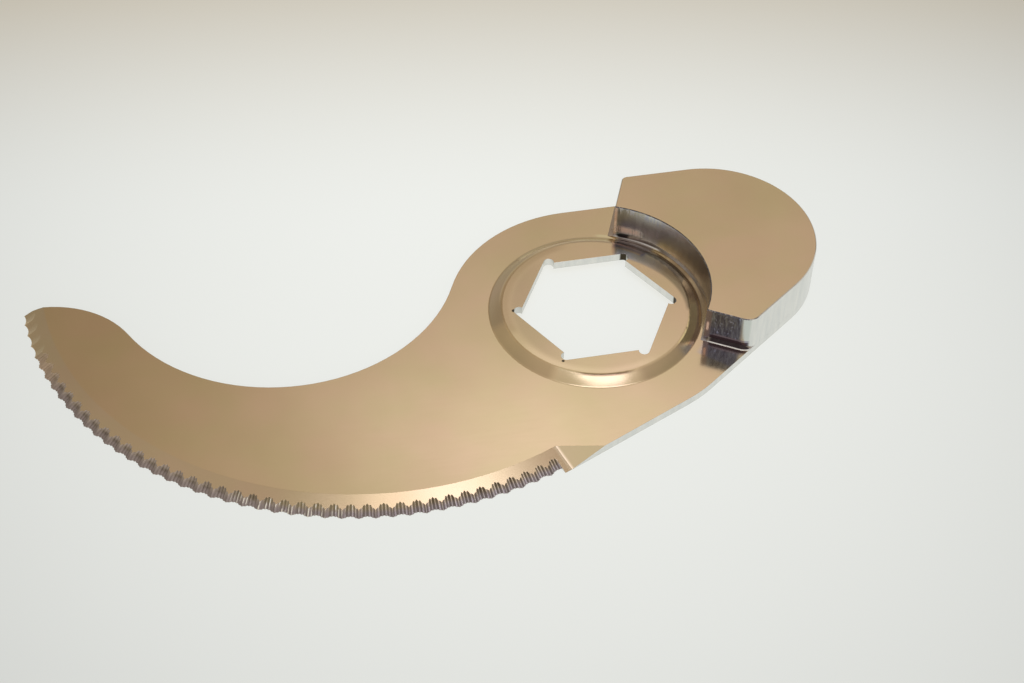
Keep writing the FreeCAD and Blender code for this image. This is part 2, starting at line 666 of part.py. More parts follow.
for item in doc.Objects:
    if "Invalid" in item.State or "Error" in item.State:
        raise RuntimeError(f"{item.Name} could not be computed")
    shape = getattr(item, "Shape", None)
    if item.isDerivedFrom("Part::Feature") and not item.isDerivedFrom("App::DatumElement"):
        if shape.isNull() or not shape.isValid():
            raise RuntimeError(f"{item.Name} has no valid shape")

os.makedirs("parts", exist_ok=True)
for part in (plate, weight, seam):
    part.Shape.exportStep(f"parts/{part.Label}.step")
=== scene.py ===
import math

import bpy
from mathutils import Matrix, Vector

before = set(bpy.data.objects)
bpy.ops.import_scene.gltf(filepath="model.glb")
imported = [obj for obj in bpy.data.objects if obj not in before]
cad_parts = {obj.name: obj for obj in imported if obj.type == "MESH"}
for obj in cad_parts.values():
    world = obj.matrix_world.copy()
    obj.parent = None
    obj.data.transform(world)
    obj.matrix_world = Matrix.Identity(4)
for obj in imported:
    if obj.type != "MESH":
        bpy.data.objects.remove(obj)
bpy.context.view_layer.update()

# Cutter mixer blade. Lengths are in metres and angles in degrees. "Reach" is the distance from the bore axis and
# "turn" the angle round it, counted from the counterweight's side.


def rgb(red, green, blue):
    """An opaque linear colour."""
    return (red, green, blue, 1.0)


def grey(level):
    return rgb(level, level, level)


def srgb(red, green, blue):
    """A colour from 0 to 255 on screen as the linear colour that a shader takes."""
    out = []
    for channel in (red, green, blue):
        part = channel / 255.0
        out.append(part / 12.92 if part <= 0.04045 else ((part + 0.055) / 1.055) ** 2.4)
    return rgb(*out)


# Camera at the photograph's viewing angle

PHOTO_WIDTH = 1024.0
FOCAL_PIXELS = 1972.74
SENSOR_WIDTH_MM = 36.0
CAMERA_PLACE = Vector((-0.23105, -0.79178, 0.82153))
CAMERA_RIGHT = Vector((0.978767, -0.204075, 0.019223))
CAMERA_BACK = Vector((-0.155894, -0.680222, 0.716237))

camera_data = bpy.data.cameras.new("camera")
camera_data.sensor_width = SENSOR_WIDTH_MM
camera_data.lens = SENSOR_WIDTH_MM * FOCAL_PIXELS / PHOTO_WIDTH
camera_data.clip_start = 0.01
camera_data.clip_end = 50.0
back = CAMERA_BACK.normalized()
up = back.cross(CAMERA_RIGHT.normalized()).normalized()
right = up.cross(back)
pose = Matrix((right, up, back)).transposed().to_4x4()
pose.translation = CAMERA_PLACE
camera = bpy.data.objects.new("camera", camera_data)
bpy.context.scene.collection.objects.link(camera)
camera.matrix_world = pose
bpy.context.scene.camera = camera


# Node helpers


class Nodes:
    """A small builder for one node tree."""

    def __init__(self, tree):
        self.tree = tree

    def add(self, kind, **settings):
        node = self.tree.nodes.new(kind)
        for name, setting in settings.items():
            setattr(node, name, setting)
        return node

    def feed(self, item, socket):
        """Link an output to a socket, or write a number or colour on it."""
        if isinstance(item, (int, float, tuple)):
            socket.default_value = item
        else:
            self.tree.links.new(item, socket)

    def show(self, shader):
        """Make a shader the surface of the material."""
        output = self.add("ShaderNodeOutputMaterial")
        self.feed(shader, output.inputs["Surface"])

    def math(self, operation, first, second=0.0, clamp=False):
        node = self.add("ShaderNodeMath", operation=operation, use_clamp=clamp)
        self.feed(first, node.inputs[0])
        self.feed(second, node.inputs[1])
        return node.outputs[0]

    def span(self, source, low, high, first=0.0, last=1.0):
        """A smooth step from one number to another between two values of the source."""
        node = self.add("ShaderNodeMapRange", interpolation_type="SMOOTHSTEP")
        for index, item in enumerate((source, low, high, first, last)):
            self.feed(item, node.inputs[index])
        return node.outputs[0]

    def fade(self, source, low, high):
        """One below the first value of the source, zero above the second."""
        return self.span(source, low, high, 1.0, 0.0)

    def band(self, source, low, high, soft):
        """One between two values of the source and zero outside them."""
        return self.both(self.span(source, low - soft, low + soft), self.fade(source, high - soft, high + soft))

    def both(self, *masks):
        out = masks[0]
        for mask in masks[1:]:
            out = self.math("MULTIPLY", out, mask)
        return out

    def either(self, first, second):
        return self.math("MAXIMUM", first, second)

    def ramp(self, source, *stops):
        node = self.add("ShaderNodeValToRGB")
        elements = node.color_ramp.elements
        while len(elements) > 1:
            elements.remove(elements[-1])
        elements[0].position = stops[0][0]
        elements[0].color = stops[0][1]
        for position, colour in stops[1:]:
            elements.new(position).color = colour
        self.feed(source, node.inputs[0])
        return node.outputs[0]

    def mix(self, factor, first, second, blend="MIX"):
        node = self.add("ShaderNodeMix", data_type="RGBA", blend_type=blend)
        self.feed(factor, node.inputs[0])
        self.feed(first, node.inputs[6])
        self.feed(second, node.inputs[7])
        return node.outputs[2]

    def times(self, first, second):
        """The product of two colours."""
        return self.mix(1.0, first, second, blend="MULTIPLY")

    def noise(self, vector, scale=1.0, detail=3.0, roughness=0.5):
        node = self.add("ShaderNodeTexNoise")
        node.inputs["Scale"].default_value = scale
        node.inputs["Detail"].default_value = detail
        node.inputs["Roughness"].default_value = roughness
        self.feed(vector, node.inputs["Vector"])
        return node.outputs[0]

    def split(self, vector):
        node = self.add("ShaderNodeSeparateXYZ")
        self.feed(vector, node.inputs[0])
        return node.outputs

    def joined(self, x, y, z):
        node = self.add("ShaderNodeCombineXYZ")
        for index, item in enumerate((x, y, z)):
            self.feed(item, node.inputs[index])
        return node.outputs[0]

    def stretched(self, vector, scale):
        node = self.add("ShaderNodeMapping")
        node.inputs["Scale"].default_value = scale
        self.feed(vector, node.inputs["Vector"])
        return node.outputs[0]

    def distance(self, x, y, centre=(0.0, 0.0)):
        """How far a point lies from an upright axis."""
        across = self.math("SUBTRACT", x, centre[0])
        along = self.math("SUBTRACT", y, centre[1])
        squares = self.math("ADD", self.math("MULTIPLY", across, across), self.math("MULTIPLY", along, along))
        return self.math("SQRT", squares)

    def turn(self, x, y, centre=(0.0, 0.0)):
        """The angle of a point round an upright axis, from -180 to 180 degrees."""
        across = self.math("SUBTRACT", x, centre[0])
        along = self.math("SUBTRACT", y, centre[1])
        return self.math("MULTIPLY", self.math("ARCTAN2", along, across), 180.0 / math.pi)

    def beyond(self, x, y, angle):
        """How far a point lies to the left of the upright plane through the axis that runs out at an angle."""
        bearing = math.radians(angle)
        return self.math("SUBTRACT", self.math("MULTIPLY", y, math.cos(bearing)),
                         self.math("MULTIPLY", x, math.sin(bearing)))


def new_material(name):
    """A material with one plain shader, which the caller still has to show."""
    material = bpy.data.materials.new(name)
    material.use_nodes = True
    material.node_tree.nodes.clear()
    nodes = Nodes(material.node_tree)
    surface = nodes.add("ShaderNodeBsdfPrincipled")
    return material, nodes, surface


# Steel. The flat faces are polished, their warm tan a painted reflection; the cut walls are pale and brushed.

REFLECTED_TAN = (srgb(218, 191, 150), srgb(227, 199, 159))
OLIVE_CAST = rgb(0.975, 1.01, 0.95)
PINK_CAST = rgb(1.02, 0.985, 1.01)
BRUSHED_WALL = (srgb(219, 220, 217), srgb(232, 231, 226))
POLISH = (grey(0.135), grey(0.145))
WALL_ROUGHNESS = 0.26
EDGE_SHADE_TONE = grey(0.35)
GRAIN_STRENGTH = 0.003
GRAIN_DEPTH = 0.0001


class Steel:
    """The shader that the three pieces share, with the masks that each adds to."""

    def __init__(self, name):
        self.material, self.nodes, self.surface = new_material(name)
        nodes = self.nodes
        self.where = nodes.add("ShaderNodeTexCoord").outputs["Object"]
        self.x, self.y, self.z = nodes.split(self.where)
        self.reach = nodes.distance(self.x, self.y)
        self.turn = nodes.turn(self.x, self.y)
        self.flat_normal = nodes.add("ShaderNodeNewGeometry").outputs["True Normal"]
        self.upright = nodes.math("ABSOLUTE", nodes.split(self.flat_normal)[2])
        self.wall = nodes.fade(self.upright, 0.35, 0.55)
        cloud = nodes.noise(self.where, 14.0, 4.0)
        patch = nodes.noise(nodes.stretched(self.where, (24.0, 32.0, 24.0)), detail=2.0)
        # The flat faces' tan tone is a painted warm reflection, mottled at random.
        tone = nodes.times(nodes.ramp(cloud, (0.3, REFLECTED_TAN[0]), (0.7, REFLECTED_TAN[1])),
                           nodes.ramp(patch, (0.32, OLIVE_CAST), (0.68, PINK_CAST)))
        brushed = nodes.noise(nodes.stretched(self.where, (300.0, 300.0, 40.0)))
        wall_tone = nodes.ramp(brushed, (0.3, BRUSHED_WALL[0]), (0.7, BRUSHED_WALL[1]))
        self.colour = nodes.mix(self.wall, tone, wall_tone)
        self.metal = 1.0
        self.grain = nodes.noise(nodes.stretched(self.where, (60.0, 900.0, 60.0)), detail=4.0)
        polished = nodes.ramp(self.grain, (0.3, POLISH[0]), (0.7, POLISH[1]))
        self.rough = nodes.mix(self.wall, polished, grey(WALL_ROUGHNESS))

    def zone(self, reach=None, turn=None, height=None):
        """A mask from bands round the bore axis and above the underside, each given as (low, high, softness)."""
        limits = ((self.reach, reach), (self.turn, turn), (self.z, height))
        return self.nodes.both(*[self.nodes.band(source, *ends) for source, ends in limits if ends])

    def paint(self, mask, colour):
        self.colour = self.nodes.mix(mask, self.colour, colour)

    def scale_and_highlight_over(self, mask, colour):
        """A thin non-metallic layer: scale, and at the weld's toe a painted highlight."""
        self.paint(mask, colour)
        self.metal = self.nodes.both(self.nodes.math("SUBTRACT", 1.0, mask), self.metal)

    def tint(self, mask, colour):
        self.colour = self.nodes.mix(mask, self.colour, colour, blend="MULTIPLY")

    def dull(self, mask, level):
        self.rough = self.nodes.mix(mask, self.rough, grey(level))

    def finish(self, rounding, edge_shade=0.0):
        """Round the edges in the shading, paint shade on the top's edges by the given share, and add the grain."""
        nodes = self.nodes
        edge = nodes.add("ShaderNodeBevel", samples=4)
        edge.inputs["Radius"].default_value = rounding
        if edge_shade > 0.0:
            level = nodes.add("ShaderNodeVectorMath", operation="DOT_PRODUCT")
            nodes.feed(edge.outputs[0], level.inputs[0])
            nodes.feed(self.flat_normal, level.inputs[1])
            at_edge = nodes.both(nodes.fade(level.outputs["Value"], 0.90, 0.995), nodes.span(self.upright, 0.95, 0.99))
            # Painted shade along the rounded edges of the top faces.
            self.tint(nodes.math("MULTIPLY", at_edge, edge_shade), EDGE_SHADE_TONE)
        bump = nodes.add("ShaderNodeBump")
        bump.inputs["Strength"].default_value = GRAIN_STRENGTH
        bump.inputs["Distance"].default_value = GRAIN_DEPTH
        nodes.feed(self.grain, bump.inputs["Height"])
        nodes.feed(edge.outputs[0], bump.inputs["Normal"])
        for item, socket in ((self.colour, "Base Color"), (self.rough, "Roughness"), (self.metal, "Metallic"),
                             (bump.outputs[0], "Normal")):
            nodes.feed(item, self.surface.inputs[socket])
        nodes.show(self.surface.outputs[0])
        return self.material


# Blade plate: its cutting edge is a circle round EDGE_CENTRE, and "along" is the angle round that.

EDGE_CENTRE = (-0.12453, 0.07690)
BEVEL_START = (0.1924, 0.1931)
CLEAR_OF_HUB = (0.0690, 0.0710)
FACET_START = (293.9, 294.1)
LAST_TOOTH = 292.0
TOOTH_PITCH = 2.544
FLUTE_PITCH = 0.0018
ROOT_RADIUS = 0.2039
FLUTES_ACROSS = math.radians(TOOTH_PITCH) * ROOT_RADIUS / FLUTE_PITCH

BEVEL_ROUGHNESS = 0.24
FACET_ROUGHNESS = 0.36
SLOPE_ROUGHNESS = 0.20
FACET_TONE = srgb(202, 206, 194)
VALLEY_HIGHLIGHT = srgb(238, 214, 176)
SHADED_BEVEL = rgb(0.86, 0.83, 0.79)

# Flutes. Where a tone has two colours, the first is towards the tip and the second towards the heel.
# The trough tones are painted shade and the ridge tones painted highlights.
DARK_TROUGH_SHADE = rgb(0.13, 0.095, 0.06)
BROWN_TROUGH_SHADE = rgb(0.26, 0.20, 0.12)
LIT_TROUGH = rgb(0.34, 0.27, 0.15)
SHALLOW_TROUGH_SHADE = (rgb(0.50, 0.41, 0.33), rgb(0.26, 0.20, 0.14))
RIM_TROUGH_SHADE = (rgb(0.36, 0.29, 0.25), rgb(0.27, 0.22, 0.21))
RIM_RIDGE_HIGHLIGHT = (rgb(0.40, 0.34, 0.31), rgb(0.66, 0.59, 0.57))
RIDGE_HIGHLIGHT = rgb(0.85, 0.68, 0.48)
GLINT = rgb(1.0, 0.93, 0.76)
WORN_FLUTE = rgb(0.62, 0.46, 0.30)

# Painted reflections, highlights and shade on the hub and the plate beside it, as tints. A row has the reach and
# the turn, each as (low, high, softness) or None for all of it, and the colour that multiplies the steel's own.
SLOPE_REACH = (0.053, 0.064, 0.0005)
SLOPE_REFLECTION_TINTS = (
    (None, (-127.0, -108.0, 4.0), rgb(1.36, 1.40, 1.46)),
    (None, (-88.0, -77.0, 4.0), rgb(1.26, 1.34, 1.30)),
    (None, (-4.0, 46.0, 6.0), rgb(0.52, 0.50, 0.45)),
)
HUB_REFLECTION_TINTS = (
    ((0.0549, 0.0566, 0.0004), (-113.0, -82.0, 4.0), rgb(0.50, 0.46, 0.45)),
    ((0.0550, 0.0600, 0.0004), (-44.0, -4.0, 4.0), rgb(1.38, 1.48, 1.30)),
    ((0.0632, 0.0655, 0.0005), (67.0, 76.0, 2.0), rgb(1.12, 1.22, 1.24)),
    ((0.0552, 0.0568, 0.0003), (105.0, 165.0, 6.0), rgb(1.18, 1.18, 1.17)),
    ((0.0510, 0.0548, 0.0025), (-152.0, -66.0, 8.0), rgb(1.15, 1.16, 1.20)),
)
FLAT_REFLECTION_TINTS = (
    ((0.0549, 0.0572, 0.0005), (15.0, 60.0, 3.0), grey(0.50)),
    ((0.0575, 0.0655, 0.0004), (15.0, 30.0, 2.0), grey(0.76)),
    ((0.0670, 0.0900, 0.0020), (-42.0, -31.0, 1.0), rgb(0.86, 0.92, 1.25)),
)
LEFT_SLOPE_REFLECTION = rgb(1.28, 1.24, 1.20)
BACK_SLOPE_REFLECTION = rgb(1.38, 1.54, 1.62)
FRONT_FOOT_REFLECTION = rgb(1.22, 1.32, 1.28)
LEFT_FLAT_SHADE = grey(0.86)
BACK_FLAT_SHADE = rgb(0.84, 0.82, 0.80)
BLUE_REFLECTION_BELOW_WALL = rgb(0.36, 0.37, 0.64)
PALE_REFLECTION_BESIDE_WELD = rgb(1.75, 1.95, 1.85)
MIRRORED_WALL = (rgb(0.50, 0.52, 0.53), rgb(0.60, 0.68, 0.91), rgb(0.63, 0.79, 1.30))

# Painted shade by the corners of the hexagon, where the reliefs reflect the dark gap under the raised hub: place,
# radius, and whether they lie on the cut walls alone
CORNER_SHADE_SPOTS = (
    ((0.0475, -0.0035), 0.0026, True),
    ((0.0268, 0.0394), 0.0026, True),
    ((-0.0480, 0.0046), 0.0015, False),
    ((-0.0286, -0.0404), 0.0011, False),
)
CORNER_SHADE_TONE = rgb(0.05, 0.04, 0.025)


def tint_hub(steel, sloping):
    """Tint the hub where the photograph shows reflections that the plain room doesn't give."""
    nodes = steel.nodes
    reach, turn = steel.reach, steel.turn
    slope = nodes.both(sloping, nodes.band(reach, *SLOPE_REACH))
    steel.dull(slope, SLOPE_ROUGHNESS)
    flat = nodes.math("SUBTRACT", 1.0, steel.wall)
    # The tints below paint reflections, highlights and shade on the hub.
    for only_on, rows in (((slope,), SLOPE_REFLECTION_TINTS), ((), HUB_REFLECTION_TINTS), ((flat,), FLAT_REFLECTION_TINTS)):
        for reach_ends, turn_ends, colour in rows:
            steel.tint(nodes.both(*only_on, steel.zone(reach=reach_ends, turn=turn_ends)), colour)
    left_slope = nodes.both(slope, nodes.span(turn, -180.0, -172.0), nodes.span(turn, -165.0, -148.0, 1.0, 0.4),
                            nodes.fade(turn, -128.0, -122.0))
    steel.tint(left_slope, LEFT_SLOPE_REFLECTION)
    slope_start = nodes.span(turn, 84.0, 96.0, 0.0570, 0.0594)
    back_slope = nodes.both(nodes.span(nodes.math("SUBTRACT", reach, slope_start), -0.0005, 0.0005),
                            nodes.fade(reach, 0.0616, 0.0626), nodes.band(turn, 67.0, 125.0, 2.0))
    steel.tint(back_slope, BACK_SLOPE_REFLECTION)
    front_foot = nodes.both(nodes.span(reach, 0.0624, 0.0630), nodes.fade(reach, 0.0655, 0.0660),
                            nodes.band(turn, -27.0, 13.0, 3.0))
    steel.tint(front_foot, FRONT_FOOT_REFLECTION)
    to_back = nodes.either(nodes.span(turn, 92.0, 108.0), nodes.fade(turn, -170.0, -162.0))
    back_flat = nodes.both(nodes.span(reach, 0.0490, 0.0530), nodes.fade(reach, 0.0546, 0.0552), to_back)
    steel.tint(back_flat, BACK_FLAT_SHADE)
    left_flat = nodes.both(nodes.fade(reach, 0.0470, 0.0530), nodes.span(steel.x, -0.012, -0.042))
    steel.tint(left_flat, LEFT_FLAT_SHADE)
    # Below the hollow wall the plate carries a painted blue reflection, paler again beside the weld.
    reflection_below_wall = nodes.both(flat, nodes.band(turn, 43.0, 65.0, 2.0), nodes.span(reach, 0.0495, 0.0535))
    steel.tint(reflection_below_wall, BLUE_REFLECTION_BELOW_WALL)
    steel.tint(nodes.both(reflection_below_wall, nodes.span(reach, 0.0600, 0.0630)), PALE_REFLECTION_BESIDE_WELD)
    # The hub's flat mirrors the hollow wall. The image starts nearer to the bore and is bluer towards the back.
    near = nodes.span(turn, -20.0, 52.0, 0.0525, 0.0440)
    far = nodes.math("MINIMUM", nodes.span(turn, 8.0, 16.0, 0.0552, 0.0600),
                     nodes.span(turn, 42.0, 46.0, 0.0600, 0.0508))
    mirrored = nodes.both(flat, nodes.span(nodes.math("SUBTRACT", reach, near), 0.0, 0.0025),
                          nodes.fade(nodes.math("SUBTRACT", reach, far), 0.0, 0.0008),
                          nodes.band(turn, -14.0, 62.0, 3.0))
    tone = nodes.mix(nodes.span(turn, 20.0, 38.0), MIRRORED_WALL[0], MIRRORED_WALL[1])
    tone = nodes.mix(nodes.span(turn, 38.0, 52.0), tone, MIRRORED_WALL[2])
    steel.tint(mirrored, tone)


def paint_flutes(steel, edge_reach, along, outside):
    """Painted shade in the troughs between painted highlights on the ridges, greyer at the rim and fainter towards the
    tip.
    """
    nodes = steel.nodes
    teeth = nodes.math("DIVIDE", nodes.math("SUBTRACT", LAST_TOOTH, along), TOOTH_PITCH)
    from_middle = nodes.math("SUBTRACT", teeth, nodes.math("ROUND", teeth))
    flutes = nodes.math("MULTIPLY", from_middle, FLUTES_ACROSS)
    from_trough = nodes.math("ABSOLUTE", nodes.math("SUBTRACT", flutes, nodes.math("ROUND", flutes)))
    chance = nodes.noise(nodes.joined(nodes.math("MULTIPLY", along, 1.7), nodes.math("MULTIPLY", steel.z, 250.0), 0.0),
                         detail=2.0, roughness=0.7)
    fluted = nodes.both(outside, nodes.span(edge_reach, 0.1975, 0.1985), nodes.fade(along, 293.2, 293.4),
                        nodes.band(steel.upright, 0.45, 0.935, 0.01), nodes.span(along, 193.5, 196.0))
    clear = nodes.span(along, 232.0, 282.0, 0.05, 1.0)
    ridge = nodes.both(nodes.span(from_trough, 0.22, 0.42), nodes.span(chance, 0.25, 0.55, 0.25, 1.0), clear)
    middle = nodes.fade(nodes.math("ABSOLUTE", from_middle), 0.12, 0.45)
    low = nodes.either(nodes.span(along, 222.0, 248.0), nodes.span(edge_reach, 0.1992, 0.2016))
    rim = nodes.span(steel.z, 0.0024, 0.0008)
    deep = nodes.mix(nodes.span(chance, 0.3, 0.7), DARK_TROUGH_SHADE, BROWN_TROUGH_SHADE)
    deep = nodes.mix(nodes.band(along, 246.0, 270.0, 5.0), deep, LIT_TROUGH)
    trough_tone = nodes.mix(nodes.both(middle, low), nodes.mix(clear, *SHALLOW_TROUGH_SHADE), deep)
    trough_tone = nodes.mix(rim, trough_tone, nodes.mix(clear, *RIM_TROUGH_SHADE))
    ridge_tone = nodes.mix(rim, RIDGE_HIGHLIGHT, nodes.mix(clear, *RIM_RIDGE_HIGHLIGHT))
    steel.paint(fluted, nodes.mix(ridge, trough_tone, ridge_tone))
    steel.rough = nodes.mix(fluted, steel.rough, nodes.span(along, 220.0, 275.0, 0.6, 0.3))
    glint = nodes.both(fluted, nodes.band(along, 241.0, 259.0, 3.0), nodes.span(from_trough, 0.25, 0.42),
                       nodes.span(chance, 0.48, 0.58))
    steel.paint(glint, GLINT)
    steel.paint(nodes.both(fluted, nodes.span(along, 205.0, 196.0, 0.0, 0.8)), WORN_FLUTE)


def blade_steel():
    steel = Steel("blade_steel")
    nodes = steel.nodes
    edge_reach = nodes.distance(steel.x, steel.y, EDGE_CENTRE)
    along = nodes.math("ADD", nodes.turn(steel.x, steel.y, EDGE_CENTRE), 360.0)
    along = nodes.math("MODULO", along, 360.0)
    outside = nodes.both(nodes.span(edge_reach, *BEVEL_START), nodes.span(steel.reach, *CLEAR_OF_HUB))
    sloping = nodes.band(steel.upright, 0.45, 0.985, 0.005)
    bevel = nodes.both(outside, sloping)
    steel.dull(bevel, BEVEL_ROUGHNESS)
    steel.tint(nodes.both(bevel, nodes.band(along, 257.0, 270.0, 4.0)), SHADED_BEVEL)
    tint_hub(steel, sloping)
    # The facet at the heel is ground more coarsely, and a pale painted highlight along the valley parts it from the
    # bevel.
    facet = nodes.both(bevel, nodes.span(along, *FACET_START))
    steel.dull(facet, FACET_ROUGHNESS)
    steel.tint(facet, FACET_TONE)
    steel.paint(nodes.both(bevel, nodes.band(along, 293.6, 294.2, 0.3)), VALLEY_HIGHLIGHT)
    paint_flutes(steel, edge_reach, along, outside)
    # Painted shade by the corners of the hexagon.
    for place, radius, on_walls in CORNER_SHADE_SPOTS:
        away = nodes.distance(steel.x, steel.y, place)
        shade_spot = nodes.fade(away, radius * 0.55, radius)
        steel.paint(nodes.both(shade_spot, steel.wall) if on_walls else shade_spot, CORNER_SHADE_TONE)
    return steel.finish(rounding=0.0002)


# Counterweight: heat tint on its hollow wall and on the end face towards the heel

HEEL_FACE = -31.3
HOLLOW_END = (0.0672, 0.0676)
EASED_EDGE = rgb(0.50, 0.45, 0.38)
HEAT_TINT_TURN = 70.0
HEAT_TINT = (
    (0.0, rgb(0.36, 0.33, 0.33)),
    (0.07, rgb(0.50, 0.46, 0.47)),
    (0.21, rgb(0.86, 0.82, 0.82)),
    (0.42, rgb(1.0, 0.92, 0.92)),
    (0.66, rgb(1.0, 1.0, 0.88)),
    (0.79, rgb(0.72, 0.72, 0.63)),
    (0.92, rgb(0.20, 0.21, 0.20)),
)
STREAK_LEVELS = (grey(0.78), grey(1.15))
LIGHT_STREAK = rgb(0.66, 0.70, 0.78)
ORANGE_SCALE = rgb(0.74, 0.48, 0.34)
ORANGE_SHARE = 0.8
BACK_STRIP = rgb(0.60, 0.50, 0.47)
BURNT = (rgb(0.11, 0.115, 0.17), rgb(0.31, 0.37, 0.47))
BLUE_FLECK = rgb(0.42, 0.52, 0.80)
CLEAN_END = rgb(0.60, 0.63, 0.59)
VIOLET_LINE = rgb(0.30, 0.28, 0.36)
FOOT_SHADE = rgb(0.08, 0.06, 0.08)
INNER_STRIP = rgb(0.30, 0.27, 0.31)
CREAM_SCALE = rgb(0.72, 0.50, 0.38)
EDGE_FLECK = rgb(0.10, 0.09, 0.10)


def weight_steel():
    steel = Steel("weight_steel")
    nodes = steel.nodes
    eased = nodes.band(steel.upright, 0.55, 0.85, 0.05)
    steel.paint(eased, EASED_EDGE)
    in_hollow = nodes.fade(steel.reach, *HOLLOW_END)
    hollow = nodes.both(steel.wall, in_hollow)
    by_heel_end = nodes.fade(nodes.beyond(steel.x, steel.y, HEEL_FACE), 0.0007, 0.0018)
    heel_end = nodes.both(steel.wall, by_heel_end)
    streak_place = nodes.joined(nodes.math("MULTIPLY", steel.turn, 0.8), nodes.math("MULTIPLY", steel.reach, 900.0),
                                nodes.math("MULTIPLY", steel.z, 110.0))
    streak = nodes.noise(streak_place, detail=4.0, roughness=0.65)
    fleck = nodes.noise(nodes.stretched(steel.where, (900.0, 900.0, 500.0)), roughness=0.6)
    # Hollow wall: grey tint with upright streaks, a row of light streaks at the top and a patch of orange scale
    tint = nodes.ramp(nodes.math("DIVIDE", steel.turn, HEAT_TINT_TURN, clamp=True), *HEAT_TINT)
    dim, lit = [nodes.times(tint, level) for level in STREAK_LEVELS]
    steel.paint(hollow, nodes.mix(nodes.span(streak, 0.25, 0.75), dim, lit))
    light = nodes.both(hollow, steel.zone(turn=(38.0, 65.0, 3.0), height=(0.0225, 0.032, 0.003)),
                       nodes.span(streak, 0.45, 0.62))
    steel.paint(light, LIGHT_STREAK)
    orange = nodes.both(hollow, steel.zone(turn=(52.0, 65.0, 3.0), height=(0.0086, 0.0135, 0.0016)),
                        nodes.span(streak, 0.25, 0.55))
    steel.scale_and_highlight_over(nodes.math("MULTIPLY", orange, ORANGE_SHARE), ORANGE_SCALE)
    steel.paint(nodes.both(hollow, nodes.span(steel.turn, 65.0, 66.2)), BACK_STRIP)
    # End face towards the heel: blue black with flecks, cleaner at the outer side and dark at the foot
    burnt = nodes.mix(nodes.span(streak, 0.38, 0.72), *BURNT)
    burnt = nodes.mix(nodes.span(fleck, 0.56, 0.68), burnt, BLUE_FLECK)
    burnt = nodes.mix(nodes.span(steel.reach, 0.0862, 0.0882), burnt, CLEAN_END)
    steel.paint(heel_end, burnt)
    line = nodes.both(heel_end, steel.zone(height=(0.0098, 0.0108, 0.0004)), nodes.span(steel.reach, 0.070, 0.073))
    steel.paint(line, VIOLET_LINE)
    steel.paint(nodes.both(heel_end, nodes.fade(steel.z, 0.0094, 0.0098)), FOOT_SHADE)
    steel.paint(nodes.both(heel_end, nodes.fade(steel.reach, 0.0686, 0.0700)), INNER_STRIP)
    cream = nodes.both(heel_end, steel.zone(reach=(0.0668, 0.0682, 0.0004), height=(0.0125, 0.0190, 0.0012)))
    steel.scale_and_highlight_over(cream, CREAM_SCALE)
    # The tint runs over the edge in small flecks.
    over = nodes.both(eased, nodes.either(in_hollow, by_heel_end), nodes.span(fleck, 0.42, 0.50))
    steel.paint(over, EDGE_FLECK)
    return steel.finish(rounding=0.0003, edge_shade=0.8)


# Weld bead: brown, with a black painted dark reflection along the end face towards the heel and at the back end of
# the hollow wall, and a pale painted highlight at the toe there

BACK_FACE = 67.0
BEAD_TONE = rgb(0.27, 0.225, 0.18)
BEAD_DARK_REFLECTION = rgb(0.03, 0.022, 0.022)
BACK_BEAD = rgb(0.66, 0.49, 0.30)
FRONT_BEAD = rgb(0.40, 0.34, 0.27)
BEAD_LIGHT = grey(1.5)
TOE_TONE = (rgb(0.42, 0.37, 0.34), rgb(0.16, 0.11, 0.07))
TOE_HIGHLIGHT = rgb(0.84, 0.80, 0.72)
BROWN_SCALE = rgb(0.40, 0.30, 0.21)
WELD_ROUGHNESS = 0.35


def weld_steel():
    steel = Steel("weld_steel")
    nodes = steel.nodes
    by_hollow = nodes.fade(steel.reach, 0.0665, 0.0670)
    at_heel = nodes.both(nodes.fade(steel.turn, -31.2, -30.6), nodes.span(steel.reach, 0.068, 0.071))
    at_back = nodes.both(nodes.band(steel.turn, 58.5, 65.6, 1.0), by_hollow)
    behind = nodes.span(nodes.beyond(steel.x, steel.y, BACK_FACE), -0.0004, 0.0)
    front = nodes.both(nodes.band(steel.turn, -29.0, 9.0, 3.0), nodes.fade(steel.reach, 0.0675, 0.0680))
    # Black painted dark reflection along the heel end and the back end of the hollow wall.
    tone = nodes.mix(nodes.either(at_heel, at_back), BEAD_TONE, BEAD_DARK_REFLECTION)
    tone = nodes.mix(behind, tone, BACK_BEAD)
    tone = nodes.mix(front, tone, FRONT_BEAD)
    uneven = nodes.noise(steel.where, 700.0)
    steel.colour = nodes.mix(nodes.span(uneven, 0.3, 0.8), tone, nodes.times(tone, BEAD_LIGHT))
    toe = nodes.fade(steel.z, 0.0053, 0.0057)
    steel.paint(toe, nodes.mix(behind, *TOE_TONE))
    back_toe = nodes.both(nodes.band(steel.turn, 40.0, 66.2, 2.0), nodes.fade(steel.z, 0.0058, 0.0062), by_hollow)
    # A pale painted highlight along the toe, by the heel end and by the hollow wall.
    steel.scale_and_highlight_over(nodes.either(nodes.both(toe, at_heel), back_toe), TOE_HIGHLIGHT)
    steel.scale_and_highlight_over(behind, BROWN_SCALE)
    steel.rough = WELD_ROUGHNESS
    return steel.finish(rounding=0.0002)


for node, make in (("blade_plate", blade_steel), ("counterweight", weight_steel), ("weld_seam", weld_steel)):
    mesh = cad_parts[node].data
    mesh.materials.clear()
    mesh.materials.append(make())


# Floor: seen pale by the camera and in reflections, with a soft shadow. Its tone is a painted pool of light, brightest
# round FLOOR_CENTRE and falling off with the square of the distance, and it turns warmer towards the back.

